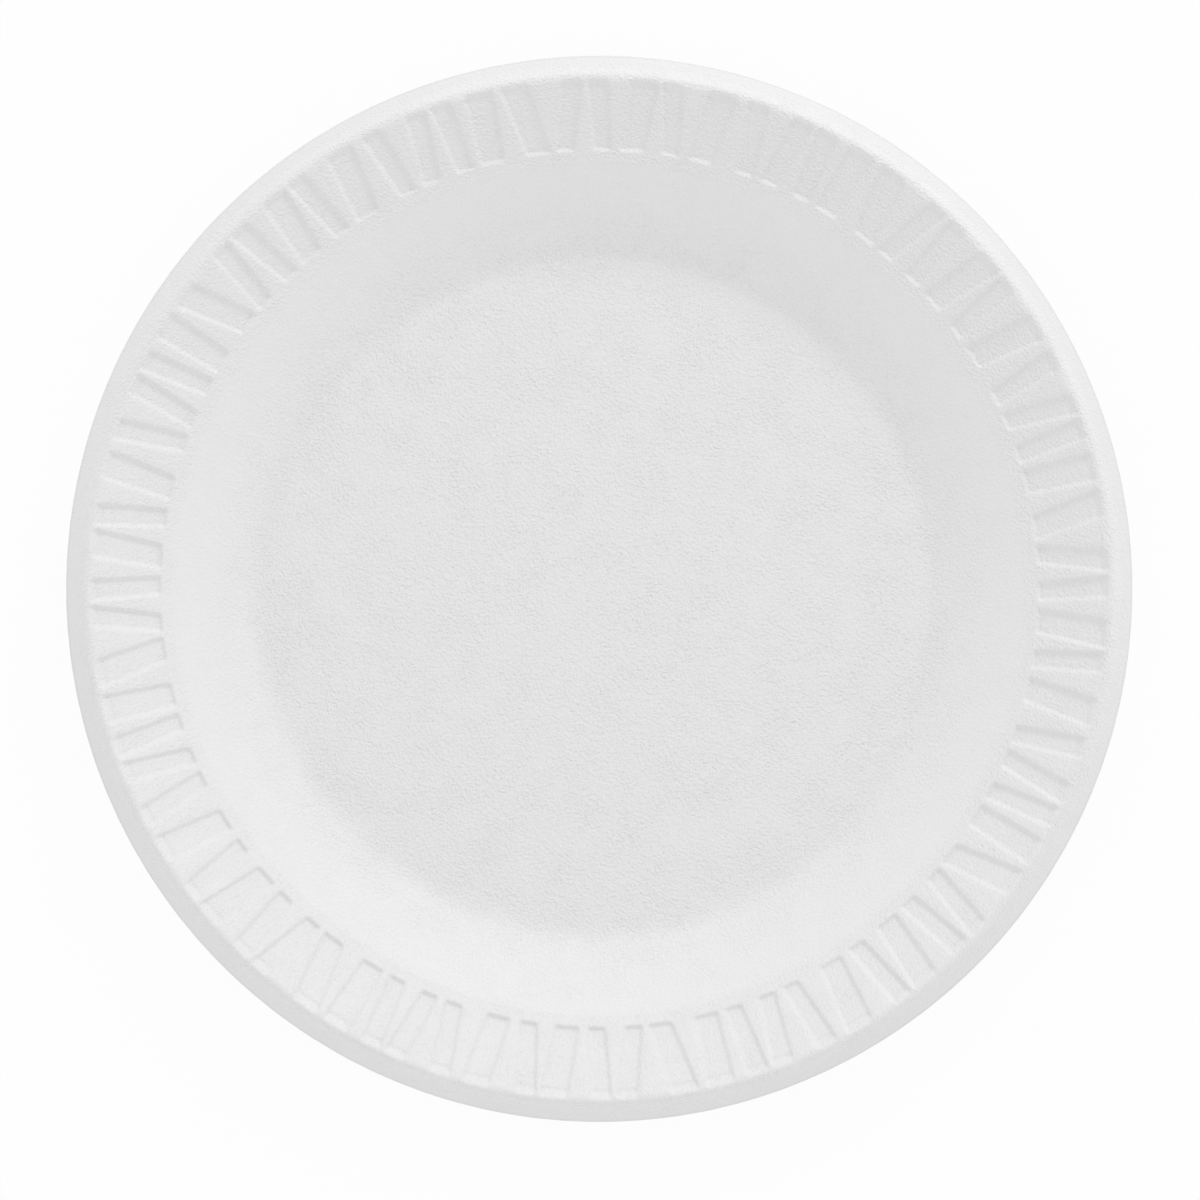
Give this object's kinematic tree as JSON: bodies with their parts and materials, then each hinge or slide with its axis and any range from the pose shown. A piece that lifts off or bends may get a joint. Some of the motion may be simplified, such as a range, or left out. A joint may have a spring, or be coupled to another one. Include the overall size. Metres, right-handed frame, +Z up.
{
  "type": "foam plate",
  "caption": "Round disposable foam plate with a flat floor, sloping wall, wide rim pressed with leaning flutes, and a turned-down lip.",
  "frame": {"origin": "middle of the flat underside that the plate stands on", "axes": "+Z up along the plate's axis, out of the open side; the flute pattern repeats every 45 degrees about it"},
  "size_m": [0.225, 0.225, 0.018],
  "materials": {
    "foam": "white foamed plastic with a smooth satin skin and a fine mottled grain"
  },
  "bodies": {
    "root": {"plate": "foam"}
  },
  "joints": []
}
